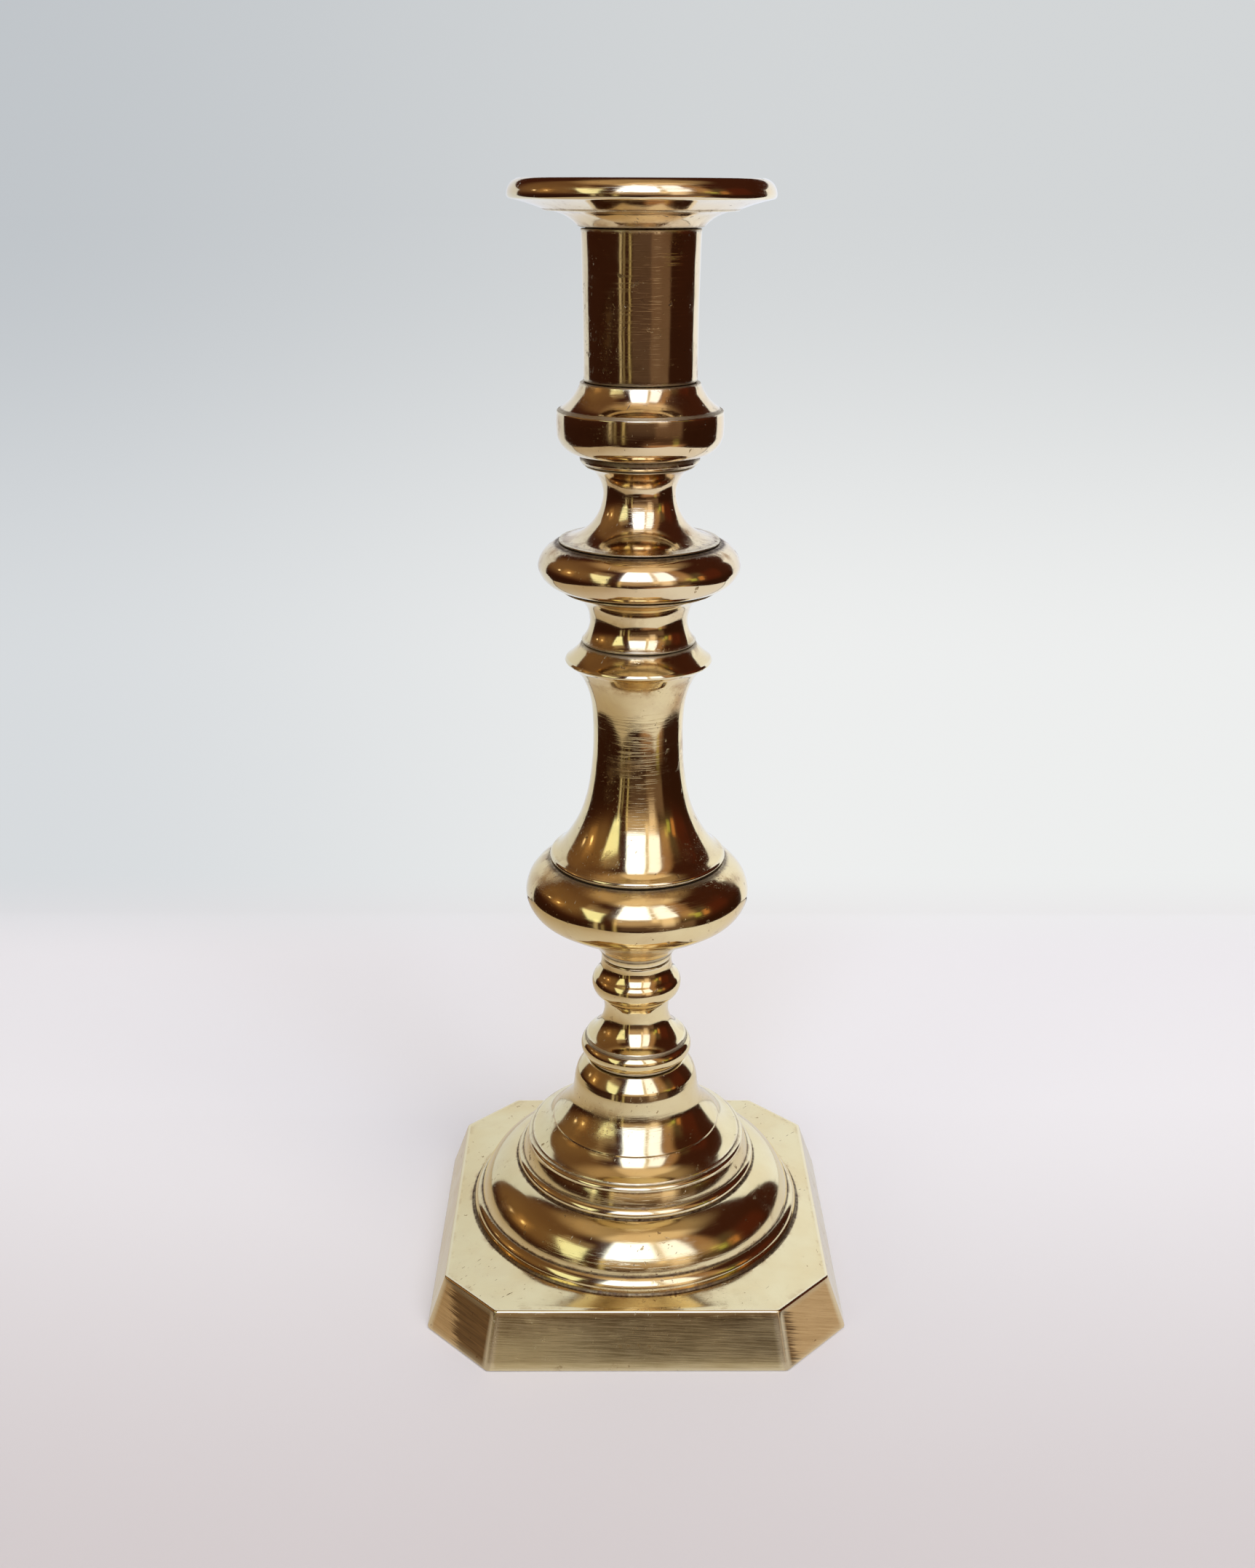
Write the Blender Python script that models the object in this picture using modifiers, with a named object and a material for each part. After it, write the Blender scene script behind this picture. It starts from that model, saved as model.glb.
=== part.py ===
"""Turned brass candlestick with a push-up candle ejector.

The frame has its origin in the middle of the resting face, +Z up and the front face of the
square foot towards -Y.  Outlines are written in millimetres as (radius, height above the
table) and become metres when a mesh is made.  The stem is a stack of hollow turned sections:
each has a spigot on top that enters a socket in the foot of the section above it.
"""
import math

import bmesh
import bpy

MM = 0.001
GAP = 0.3                   # clearance between neighbouring pieces
ROUND = 32                  # facets around the visible turned pieces
SMALL_ROUND = 20            # facets around the small hidden pieces
MERGE = 0.00002             # metres, welds the points of a profile that lie on the axis

# Heights of the joints in the stem, each the middle of its gap
Z_BASE_TOP = 59.7
Z_BULB_FOOT = 89.4
Z_VASE_FOOT = 117.6
Z_SPOOL_FOOT = 174.4
Z_KNOP_FOOT = 188.0
Z_NECK_FOOT = 199.0
Z_CUP_FOOT = 217.3
Z_TUBE_FOOT = 236.2
Z_PAN_FOOT = 269.6
HEIGHT = 280.0

# Square foot with canted corners
FOOT_HALF = 54.8            # half width at the table, before its edge is rounded
FOOT_CUT = 16.6             # canted corner at the table
PLATE_HALF = 49.4           # half width of the flat top
PLATE_CUT = 13.9
PLATE_TOP = 14.6
PLINTH_ROUNDING = 0.9
WALL = 3.2                  # thickness of the casting
DOME_R = 44.75              # where the dome meets the top of the plinth
CROWN = 15.5                # height of the top there; it falls a little towards its edge
CROWN_R = 48.4              # where the fall ends
CAVITY_ROOF = 50.0          # flat seat for the washer inside the dome
CAVITY_ROOF_R = 12.0

# Joints between the sections
SPIGOT_R = 6.0
SPIGOT_LENGTH = 7.0
SOCKET_R = SPIGOT_R + GAP
SOCKET_DEPTH = SPIGOT_LENGTH + 2 * GAP
ROD_BORE_R = 3.3
TENON_END = 42.3            # lower end of the stem's long tenon
TENON_GUIDE_R = 2.7

# Candle socket
TUBE_R = 13.2
TUBE_TOP_R = 13.6
CANDLE_R = 11.1             # takes a 22 mm candle
TUBE_SPIGOT_R = 12.5
SOCKET_FLOOR = 228.0
TUBE_END = 276.2

# Nut and washer under the dome
NUT_CORNER_R = 11.0
NUT_HEIGHT = 5.0
WASHER_R = 11.2
WASHER_THICK = 1.1

# Push-up ejector
ROD_R = 2.2
ROD_TENON_R = 1.5
RIVET_R = 2.9
RIVET_HEIGHT = 1.2
DISC_R = 10.7
DISC_THICK = 2.0
BUTTON_R = 9.0
BUTTON_FOOT = 2.2
BUTTON_TOP = 7.2
BUTTON_HOLE = 4.3


def bow(start, end, sagitta, steps=4):
    """Arc from start to end; a positive sagitta bulges outwards on a line that runs down."""
    dr = end[0] - start[0]
    dz = end[1] - start[1]
    chord = math.hypot(dr, dz)
    half_angle = 2.0 * math.atan(2.0 * abs(sagitta) / chord)
    radius = chord / (2.0 * math.sin(half_angle))
    side = math.copysign(1.0, sagitta)
    points = []
    for step in range(steps + 1):
        angle = half_angle * (2.0 * step / steps - 1.0)
        along = 0.5 + radius * math.sin(angle) / chord
        rise = side * radius * (math.cos(angle) - math.cos(half_angle)) / chord
        points.append((start[0] + dr * along - dz * rise, start[1] + dz * along + dr * rise))
    return points


def make_material(name, colour, roughness, metallic=1.0):
    material = bpy.data.materials.new(name)
    material.use_nodes = True
    shader = material.node_tree.nodes["Principled BSDF"]
    shader.inputs["Base Color"].default_value = (*colour, 1.0)
    shader.inputs["Roughness"].default_value = roughness
    shader.inputs["Metallic"].default_value = metallic
    material.diffuse_color = (*colour, 1.0)
    return material


def add_object(name, mesh, collection, material=None, at=0.0):
    piece = bpy.data.objects.new(name, mesh)
    piece.location.z = at * MM
    collection.objects.link(piece)
    if material is not None:
        mesh.materials.append(material)
    return piece


def turned(name, outline, collection, material=None, facets=ROUND, at=0.0, closed=True):
    """Turn an outline about Z.  A closed outline runs down its outside and up its bore."""
    mesh = bpy.data.meshes.new(name)
    count = len(outline)
    verts = [(r * MM, 0.0, (z - at) * MM) for r, z in outline]
    edges = [(i, i + 1) for i in range(count - 1)]
    if closed:
        edges.append((count - 1, 0))
    mesh.from_pydata(verts, edges, [])
    piece = add_object(name, mesh, collection, material, at)
    screw = piece.modifiers.new("Turn", "SCREW")
    screw.axis = "Z"
    screw.angle = 2.0 * math.pi
    screw.steps = facets
    screw.render_steps = facets
    screw.use_smooth_shade = True
    screw.use_merge_vertices = not closed
    screw.merge_threshold = MERGE
    return piece


def canted_square(half, cut, height):
    """Corners of a square with its corners cut off, anticlockwise seen from above."""
    quarter = [(half, half - cut), (half - cut, half)]
    corners = []
    for turn in range(4):
        c, s = ((1, 0), (0, 1), (-1, 0), (0, -1))[turn]
        corners.extend((c * x - s * y, s * x + c * y, height) for x, y in quarter)
    return corners


def canted_block(name, bottom, top, collection, material=None):
    """Solid between two unlike canted squares, each given as (half, cut, height)."""
    bm = bmesh.new()
    rings = []
    for half, cut, height in (bottom, top):
        corners = canted_square(half * MM, cut * MM, height * MM)
        rings.append([bm.verts.new(corner) for corner in corners])
    bm.faces.new(reversed(rings[0]))
    bm.faces.new(rings[1])
    bmesh.ops.bridge_loops(bm, edges=[edge for edge in bm.edges])
    bmesh.ops.recalc_face_normals(bm, faces=bm.faces)
    mesh = bpy.data.meshes.new(name)
    bm.to_mesh(mesh)
    bm.free()
    return add_object(name, mesh, collection, material)


def boolean(piece, operation, other):
    modifier = piece.modifiers.new(other.name, "BOOLEAN")
    modifier.operation = operation
    modifier.solver = "EXACT"
    modifier.object = other


def dome_outline():
    """Stepped dome and neck of the foot, from the neck's top down into the plinth."""
    top = Z_BASE_TOP - GAP / 2
    line = [(0.0, top), (12.9, top)]
    line += bow((13.2, top - 0.15), (15.6, 56.25), 0.12, 2)
    line += bow((15.9, 55.6), (16.7, 51.0), 0.12, 2)
    line += bow((16.8, 50.5), (22.2, 41.7), -0.9, 4)
    line += bow((22.5, 41.2), (27.9, 37.2), -0.5, 3)
    line += bow((28.4, 36.8), (30.6, 32.0), 0.4, 3)
    line += bow((30.9, 31.6), (32.1, 29.5), 0.45, 2)
    line += bow((32.5, 29.1), (42.2, 19.4), 1.95, 5)
    line += bow((42.6, 19.1), (44.4, 16.0), 0.5, 2)
    line += [(DOME_R, CROWN)]
    line += [(CROWN_R, PLATE_TOP), (CROWN_R, PLATE_TOP - WALL / 2), (0.0, PLATE_TOP - WALL / 2)]
    return line


def cavity_outline():
    """Hollow under the dome, with the hole for the stem's tenon through its roof."""
    roof = PLATE_TOP - WALL
    line = [(0.0, Z_BASE_TOP + 2.0), (SOCKET_R, Z_BASE_TOP + 2.0), (SOCKET_R, CAVITY_ROOF)]
    line += [(CAVITY_ROOF_R, CAVITY_ROOF), (14.2, 46.5), (19.2, 39.5), (24.6, 35.2)]
    line += bow((28.8, 28.8), (39.8, 17.5), 2.6, 3)
    line += [(40.4, roof - 1.5), (0.0, roof - 1.5)]
    return line


def build_base(parts, cutters, brass):
    base = canted_block(
        "base_casting",
        (FOOT_HALF, FOOT_CUT, 0.0),
        (PLATE_HALF, PLATE_CUT, PLATE_TOP),
        parts,
        brass,
    )
    rounding = base.modifiers.new("Rounded edges", "BEVEL")
    rounding.width = PLINTH_ROUNDING * MM
    rounding.segments = 2
    rounding.limit_method = "ANGLE"
    rounding.angle_limit = math.radians(30.0)

    dome = turned("dome", dome_outline(), cutters, closed=False)
    cavity = turned("dome_cavity", cavity_outline(), cutters, closed=False)
    roof = PLATE_TOP - WALL
    below = 3.0
    slope = (FOOT_HALF - PLATE_HALF) / PLATE_TOP
    recess = canted_block(
        "plinth_recess",
        (FOOT_HALF - WALL + slope * below, FOOT_CUT - 1.6, -below),
        (FOOT_HALF - WALL - slope * roof, PLATE_CUT - 1.6, roof),
        cutters,
    )
    boolean(base, "UNION", dome)
    boolean(base, "DIFFERENCE", recess)
    boolean(base, "DIFFERENCE", cavity)
    return base


def stem_section(name, side, z_foot, z_top, parts, brass, core=()):
    """Hollow section with a socket in its foot and a spigot on top; core widens its bore."""
    foot = z_foot + GAP / 2
    shoulder = z_top - GAP / 2
    tip = shoulder + SPIGOT_LENGTH
    line = [(SPIGOT_R, tip), (SPIGOT_R, shoulder)]
    line += side
    line += [(SOCKET_R, foot), (SOCKET_R, foot + SOCKET_DEPTH)]
    line += core
    inner_end = line[-1][1]
    line += [(ROD_BORE_R, inner_end), (ROD_BORE_R, tip)]
    return turned(name, line, parts, brass, at=foot)


def build_pedestal(parts, brass):
    """Lowest section: collar, flared neck and bead, with the long tenon through the foot."""
    foot = Z_BASE_TOP + GAP / 2
    shoulder = Z_BULB_FOOT - GAP / 2
    tip = shoulder + SPIGOT_LENGTH
    line = [(SPIGOT_R, tip), (SPIGOT_R, shoulder), (9.1, shoulder)]
    line += bow((9.2, 88.0), (10.8, 84.3), -0.4, 2)
    line += bow((11.2, 84.0), (9.7, 78.2), 1.2, 4)
    line += bow((9.2, 77.9), (13.0, 66.4), -2.4, 5)
    line += [(13.3, 65.9)]
    line += bow((13.5, 65.5), (13.9, 61.1), 0.9, 3)
    line += [(12.7, 60.8), (12.7, foot)]
    line += [(SPIGOT_R, foot), (SPIGOT_R, TENON_END)]
    line += [(TENON_GUIDE_R, TENON_END), (TENON_GUIDE_R, TENON_END + 5.0)]
    line += [(ROD_BORE_R, TENON_END + 5.6), (ROD_BORE_R, tip)]
    return turned("pedestal_stem", line, parts, brass, at=foot)


def build_stem(parts, brass):
    side = bow((22.4, Z_VASE_FOOT - 0.3), (28.6, 109.4), 1.7, 4)
    side += bow((28.6, 109.4), (25.0, 102.3), 1.3, 4)[1:]
    side += bow((25.0, 102.3), (9.9, 91.9), -0.2, 4)[1:]
    side += [(9.2, Z_BULB_FOOT + GAP / 2)]
    stem_section("bulb_knop", side, Z_BULB_FOOT, Z_VASE_FOOT, parts, brass,
                 core=[(12.5, 98.2), (20.0, 102.8), (20.0, 111.5), (11.0, 114.0)])

    side = [(13.6, Z_SPOOL_FOOT - GAP / 2)]
    side += bow((14.1, 174.0), (17.8, 170.3), -0.2, 3)
    side += [(18.0, 169.7), (17.3, 169.2)]
    side += bow((14.9, 168.0), (11.3, 156.5), -0.9, 4)
    side += bow((11.2, 150.0), (22.1, 118.2), -3.6, 6)
    side += [(21.9, Z_VASE_FOOT + GAP / 2)]
    stem_section("vase_stem", side, Z_VASE_FOOT, Z_SPOOL_FOOT, parts, brass,
                 core=[(7.8, 126.0), (7.8, 164.0)])

    side = [(18.9, Z_KNOP_FOOT - GAP / 2)]
    side += bow((18.4, 187.2), (13.9, 174.9), -4.0, 6)
    side += [(13.9, Z_SPOOL_FOOT + GAP / 2)]
    stem_section("spool", side, Z_SPOOL_FOOT, Z_KNOP_FOOT, parts, brass)

    side = bow((19.7, Z_NECK_FOOT - 0.3), (24.3, 193.4), 1.05, 4)
    side += bow((24.3, 193.4), (19.4, 188.4), 1.15, 4)[1:]
    stem_section("upper_knop", side, Z_KNOP_FOOT, Z_NECK_FOOT, parts, brass)

    side = [(12.9, Z_CUP_FOOT - GAP / 2)]
    side += bow((12.9, 216.9), (8.65, 210.4), -1.0, 4)
    side += bow((8.65, 210.4), (19.3, 199.4), -2.9, 6)[1:]
    side += [(19.3, Z_NECK_FOOT + GAP / 2)]
    stem_section("trumpet_neck", side, Z_NECK_FOOT, Z_CUP_FOOT, parts, brass)


def build_socket(parts, brass):
    foot = Z_CUP_FOOT + GAP / 2
    lip = Z_TUBE_FOOT - GAP / 2
    bore = TUBE_SPIGOT_R + GAP
    line = [(bore, lip), (13.9, lip)]
    line += bow((14.1, 235.7), (18.7, 230.2), -0.6, 3)
    line += [(19.3, 229.6)]
    line += bow((19.5, 228.8), (19.4, 223.9), 0.1, 2)
    line += bow((19.2, 223.4), (14.1, 219.7), 0.9, 3)
    line += [(14.1, 218.0), (13.6, foot)]
    line += [(SOCKET_R, foot), (SOCKET_R, foot + SOCKET_DEPTH)]
    line += [(ROD_BORE_R, foot + SOCKET_DEPTH), (ROD_BORE_R, SOCKET_FLOOR)]
    line += [(bore, SOCKET_FLOOR)]
    turned("socket_cup", line, parts, brass, at=foot)

    shoulder = Z_TUBE_FOOT + GAP / 2
    neck = Z_PAN_FOOT - GAP / 2
    end = SOCKET_FLOOR + GAP
    line = [(CANDLE_R, TUBE_END), (TUBE_SPIGOT_R, TUBE_END), (TUBE_SPIGOT_R, neck)]
    line += bow((TUBE_TOP_R, neck), (TUBE_R, shoulder), -0.15, 4)
    line += [(TUBE_SPIGOT_R, shoulder), (TUBE_SPIGOT_R, end), (CANDLE_R, end)]
    turned("socket_tube", line, parts, brass, at=shoulder)

    foot = Z_PAN_FOOT + GAP / 2
    bore = TUBE_SPIGOT_R + GAP
    line = [(bore, TUBE_END), (14.5, TUBE_END)]
    line += bow((24.0, 277.4), (27.0, HEIGHT), 0.4, 3)
    line += bow((28.0, HEIGHT), (29.9, 276.8), 0.45, 3)
    line += bow((30.0, 276.4), (29.4, 275.6), 0.2, 2)
    line += bow((29.0, 275.5), (22.3, 273.6), -0.15, 2)
    line += bow((21.9, 273.2), (14.3, foot), -0.8, 4)
    line += [(bore, foot)]
    turned("drip_pan", line, parts, brass, at=foot)


def build_fixings(parts, cutters, brass, iron):
    """Washer and hexagon nut that hold the stem's tenon under the dome."""
    top = CAVITY_ROOF - GAP
    low = top - WASHER_THICK
    hole = SPIGOT_R + GAP
    line = [(hole, top), (WASHER_R, top), (WASHER_R, low), (hole, low)]
    turned("stem_washer", line, parts, iron, SMALL_ROUND, at=low)

    nut_top = low - GAP
    bm = bmesh.new()
    bmesh.ops.create_cone(
        bm,
        cap_ends=True,
        segments=6,
        radius1=NUT_CORNER_R * MM,
        radius2=NUT_CORNER_R * MM,
        depth=NUT_HEIGHT * MM,
    )
    mesh = bpy.data.meshes.new("stem_nut")
    bm.to_mesh(mesh)
    bm.free()
    nut = add_object("stem_nut", mesh, parts, brass, at=nut_top - NUT_HEIGHT / 2)
    high = nut_top + 1.0
    under = nut_top - NUT_HEIGHT - 1.0
    line = [(0.0, high), (hole, high), (hole, under), (0.0, under)]
    drill = turned("nut_drill", line, cutters, facets=SMALL_ROUND, closed=False)
    boolean(nut, "DIFFERENCE", drill)


def build_pusher(parts, brass, iron):
    """Rod, disc and button, which slide together on the candlestick's axis."""
    pusher = bpy.data.objects.new("pusher_axis", None)
    pusher.empty_display_size = 0.02
    parts.objects.link(pusher)

    disc_low = SOCKET_FLOOR + GAP
    disc_top = disc_low + DISC_THICK
    hole = ROD_TENON_R + GAP
    line = [(hole, disc_top), (DISC_R - 0.5, disc_top), (DISC_R, disc_top - 0.5)]
    line += [(DISC_R, disc_low), (hole, disc_low)]
    disc = turned("ejector_disc", line, parts, brass, SMALL_ROUND, at=disc_low)

    rivet_low = disc_top + GAP
    line = [(0.0, rivet_low + RIVET_HEIGHT)]
    line += bow((RIVET_R * 0.35, rivet_low + RIVET_HEIGHT), (RIVET_R, rivet_low), 0.5, 3)
    line += [(ROD_TENON_R, rivet_low), (ROD_TENON_R, SOCKET_FLOOR), (ROD_R, SOCKET_FLOOR)]
    line += [(ROD_R, BUTTON_HOLE + GAP), (0.0, BUTTON_HOLE + GAP)]
    rod = turned("push_rod", line, parts, iron, SMALL_ROUND, closed=False)

    hole = ROD_R + GAP
    line = [(0.0, BUTTON_HOLE), (hole, BUTTON_HOLE), (hole, BUTTON_TOP)]
    line += [(5.0, BUTTON_TOP)]
    line += bow((BUTTON_R - 1.2, BUTTON_TOP - 1.0), (BUTTON_R - 1.2, BUTTON_FOOT + 0.4), 1.2, 4)
    line += [(BUTTON_R - 2.5, BUTTON_FOOT), (0.0, BUTTON_FOOT)]
    button = turned("push_button", line, parts, brass, SMALL_ROUND, closed=False)

    for piece in (disc, rod, button):
        piece.parent = pusher


def main():
    for old in list(bpy.data.objects):
        bpy.data.objects.remove(old, do_unlink=True)

    parts = bpy.data.collections.new("brass_candlestick")
    cutters = bpy.data.collections.new("cutters")
    for collection in (parts, cutters):
        bpy.context.scene.collection.children.link(collection)

    polished = make_material("polished brass", (0.74, 0.55, 0.24), 0.22)
    cast = make_material("brushed cast brass", (0.68, 0.51, 0.23), 0.36)
    iron = make_material("dull iron", (0.20, 0.18, 0.17), 0.60)

    build_base(parts, cutters, cast)
    build_pedestal(parts, polished)
    build_stem(parts, polished)
    build_socket(parts, polished)
    build_fixings(parts, cutters, polished, iron)
    build_pusher(parts, cast, iron)

    for cutter in cutters.objects:
        cutter.hide_render = True
        cutter.display_type = "WIRE"


main()
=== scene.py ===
"""Looks of the brass candlestick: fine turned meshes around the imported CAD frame.

Lengths are in millimetres until a mesh is made.  Outlines are (radius, height above the
table); heights come from the CAD nodes' boxes.
"""
import math

import bpy
from mathutils import Matrix, Vector, noise


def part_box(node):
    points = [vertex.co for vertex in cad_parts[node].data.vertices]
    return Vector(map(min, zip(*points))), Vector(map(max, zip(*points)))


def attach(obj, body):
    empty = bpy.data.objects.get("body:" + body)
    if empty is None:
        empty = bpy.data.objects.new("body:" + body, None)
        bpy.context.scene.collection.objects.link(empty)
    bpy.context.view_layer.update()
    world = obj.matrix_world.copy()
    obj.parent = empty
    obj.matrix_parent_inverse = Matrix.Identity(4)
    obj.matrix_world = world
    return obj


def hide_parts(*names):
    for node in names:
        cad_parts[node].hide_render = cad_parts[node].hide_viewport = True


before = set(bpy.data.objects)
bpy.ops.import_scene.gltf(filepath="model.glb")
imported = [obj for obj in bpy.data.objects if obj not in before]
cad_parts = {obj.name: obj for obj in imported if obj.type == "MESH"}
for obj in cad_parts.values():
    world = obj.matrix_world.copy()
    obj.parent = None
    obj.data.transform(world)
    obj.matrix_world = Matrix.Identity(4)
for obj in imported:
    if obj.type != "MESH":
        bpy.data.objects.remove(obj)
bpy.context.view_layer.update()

MM = 0.001
GAP = 0.3                    # clearance between neighbouring pieces
FACETS = 192                 # around a turned piece
SMALL_FACETS = 96
EDGE_ROUND = 0.22            # wear on a turned corner
NOISE_SEED = 7
STICK = "stick"
PUSHER = "pusher"

noise.seed_set(NOISE_SEED)   # noise_vector would otherwise start from the clock


def low(node):
    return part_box(node)[0].z / MM


def high(node):
    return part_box(node)[1].z / MM


def radius_of(node):
    lo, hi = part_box(node)
    return (hi.x - lo.x) / 2 / MM


# ---------------------------------------------------------------- outlines

def bow(start, end, sagitta, steps=14):
    """Arc from start to end; a positive sagitta bulges outwards on a line that runs down."""
    dr = end[0] - start[0]
    dz = end[1] - start[1]
    chord = math.hypot(dr, dz)
    half_angle = 2.0 * math.atan(2.0 * abs(sagitta) / chord)
    radius = chord / (2.0 * math.sin(half_angle))
    side = math.copysign(1.0, sagitta)
    points = []
    for step in range(steps + 1):
        angle = half_angle * (2.0 * step / steps - 1.0)
        along = 0.5 + radius * math.sin(angle) / chord
        rise = side * radius * (math.cos(angle) - math.cos(half_angle)) / chord
        points.append((start[0] + dr * along - dz * rise, start[1] + dz * along + dr * rise))
    return points


def glide(knots, steps=6):
    """Smooth line through knots, with no kink at any of them (centripetal Catmull-Rom)."""
    knots = [Vector(k) for k in knots]
    ends = [knots[0] * 2 - knots[1]] + knots + [knots[-1] * 2 - knots[-2]]
    points = []
    for p0, p1, p2, p3 in zip(ends, ends[1:], ends[2:], ends[3:]):
        t1 = (p1 - p0).length ** 0.5
        t2 = t1 + (p2 - p1).length ** 0.5
        t3 = t2 + (p3 - p2).length ** 0.5
        for step in range(steps):
            t = t1 + (t2 - t1) * step / steps
            a = p0 * ((t1 - t) / t1) + p1 * (t / t1)
            b = p1 * ((t2 - t) / (t2 - t1)) + p2 * ((t - t1) / (t2 - t1))
            c = p2 * ((t3 - t) / (t3 - t2)) + p3 * ((t - t2) / (t3 - t2))
            d = a * ((t2 - t) / t2) + b * (t / t2)
            e = b * ((t3 - t) / (t3 - t1)) + c * ((t - t1) / (t3 - t1))
            f = d * ((t2 - t) / (t2 - t1)) + e * ((t - t1) / (t2 - t1))
            points.append((f.x, f.y))
    return points + [tuple(knots[-1])]


def soften(outline, closed, radius=EDGE_ROUND, steps=3):
    """Round every corner of an outline that turns by more than a worn edge would show."""
    count = len(outline)
    result = []
    for i, point in enumerate(outline):
        if not closed and i in (0, count - 1):
            result.append(point)
            continue
        here = Vector(point)
        before = Vector(outline[i - 1]) - here
        after = Vector(outline[(i + 1) % count]) - here
        if before.length < 1e-6 or after.length < 1e-6:
            continue
        turn = math.pi - before.angle(after)
        if turn < math.radians(14.0):
            result.append(point)
            continue
        reach = min(radius * math.tan(turn / 2.0), 0.42 * before.length, 0.42 * after.length)
        start = here + before.normalized() * reach
        end = here + after.normalized() * reach
        for step in range(steps + 1):
            t = step / steps
            mix = start * (1 - t) ** 2 + here * 2 * t * (1 - t) + end * t ** 2
            result.append((mix.x, mix.y))
    return result


def split_long(outline, closed, longest=2.5):
    """Put extra points on long straight stretches, so that the surface can wander a little."""
    count = len(outline)
    result = []
    last = count if closed else count - 1
    for i in range(last):
        a = outline[i]
        b = outline[(i + 1) % count]
        parts = max(1, math.ceil(math.hypot(b[0] - a[0], b[1] - a[1]) / longest))
        for part in range(parts):
            t = part / parts
            result.append((a[0] + (b[0] - a[0]) * t, a[1] + (b[1] - a[1]) * t))
    if not closed:
        result.append(outline[-1])
    return result


def hollows(outline, closed, window=0.9):
    """How far the line turns inwards around each point (grime, with painted shade in the hollows)
    and outwards (wear, with a painted highlight on the edges).
    """
    count = len(outline)
    travelled = [0.0]
    for a, b in zip(outline, outline[1:]):
        travelled.append(travelled[-1] + math.hypot(b[0] - a[0], b[1] - a[1]))
    turns = []
    for i in range(count):
        if not closed and i in (0, count - 1):
            turns.append(0.0)
            continue
        a, b, c = outline[i - 1], outline[i], outline[(i + 1) % count]
        first = math.atan2(b[1] - a[1], b[0] - a[0])
        second = math.atan2(c[1] - b[1], c[0] - b[0])
        turns.append((second - first + math.pi) % (2.0 * math.pi) - math.pi)
    grime_and_shade, wear_and_highlight = [], []
    for i in range(count):
        dirt_and_shade = worn_highlight = 0.0
        for j in range(count):
            gap = abs(travelled[j] - travelled[i])
            if gap < window:
                weight = 1.0 - gap / window
                dirt_and_shade += max(0.0, turns[j]) * weight
                worn_highlight += max(0.0, -turns[j]) * weight
        grime_and_shade.append(min(1.0, dirt_and_shade / 1.2))
        wear_and_highlight.append(min(1.0, worn_highlight / 1.2))
    return travelled, grime_and_shade, wear_and_highlight


# ---------------------------------------------------------------- meshes

def wander(x, y, z, amount, size, seed):
    """Small outward error of a hand-finished surface, in millimetres."""
    spot = Vector((x, y, z)) / size + Vector((seed * 7.3, seed * 3.1, seed * 1.7))
    return amount * (noise.noise(spot) + 0.35 * noise.noise(spot * 2.7))


def wandered(point, amount, size, seed):
    x, y, z = point
    shift = noise.noise_vector(Vector(point) / size + Vector((seed, seed, seed))) * amount
    if z < 0.5:
        shift.z = 0.0
    return (x + shift.x, y + shift.y, z + shift.z)


def make_mesh(name, rings, per_ring, closed, values, capped=False):
    """Mesh from rings of points; values are the per-ring along, grime with painted shade, and
    wear with a painted highlight.
    """
    verts = [(x * MM, y * MM, z * MM) for ring in rings for x, y, z in ring]
    faces = []
    total = len(rings)
    for i in range(total if closed else total - 1):
        a = i * per_ring
        b = ((i + 1) % total) * per_ring
        for j in range(per_ring):
            k = (j + 1) % per_ring
            faces.append((a + j, b + j, b + k, a + k))
    tracks = {}
    for key, track in values.items():
        tracks[key] = []
        for value in track:
            tracks[key] += value if isinstance(value, list) else [value] * per_ring
    if capped:
        for ring_index, flip in ((0, False), (total - 1, True)):
            ring = rings[ring_index]
            verts.append((0.0, 0.0, sum(p[2] for p in ring) / len(ring) * MM))
            tip = len(verts) - 1
            for key in tracks:
                value = values[key][ring_index]
                tracks[key].append(value[0] if isinstance(value, list) else value)
            start = ring_index * per_ring
            for j in range(per_ring):
                k = (j + 1) % per_ring
                corner = (tip, start + j, start + k)
                faces.append(corner[::-1] if flip else corner)
    mesh = bpy.data.meshes.new(name)
    mesh.from_pydata(verts, [], faces)
    for key, track in tracks.items():
        attribute = mesh.attributes.new(key, "FLOAT", "POINT")
        attribute.data.foreach_set("value", track)
    mesh.shade_smooth()
    mesh.set_sharp_from_angle(angle=math.radians(38.0))
    mesh.update()
    return mesh


def place(name, mesh, material, node, body):
    piece = bpy.data.objects.new(name, mesh)
    bpy.context.scene.collection.objects.link(piece)
    mesh.materials.append(material)
    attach(piece, body)
    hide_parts(node)


def blotch(x, y, z, marks):
    """Strength of the listed marks here: (bearing, height, half width, half height, strength).

    A bearing is in degrees from the front (-Y), positive towards +X; the rest in millimetres.
    """
    total = 0.0
    bearing = math.degrees(math.atan2(x, -y))
    radius = math.hypot(x, y)
    for centre, height, half_width, half_height, strength in marks:
        across = math.radians((bearing - centre + 180.0) % 360.0 - 180.0) * radius / half_width
        total += strength * math.exp(-across * across - ((z - height) / half_height) ** 2)
    return min(1.0, total)


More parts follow.
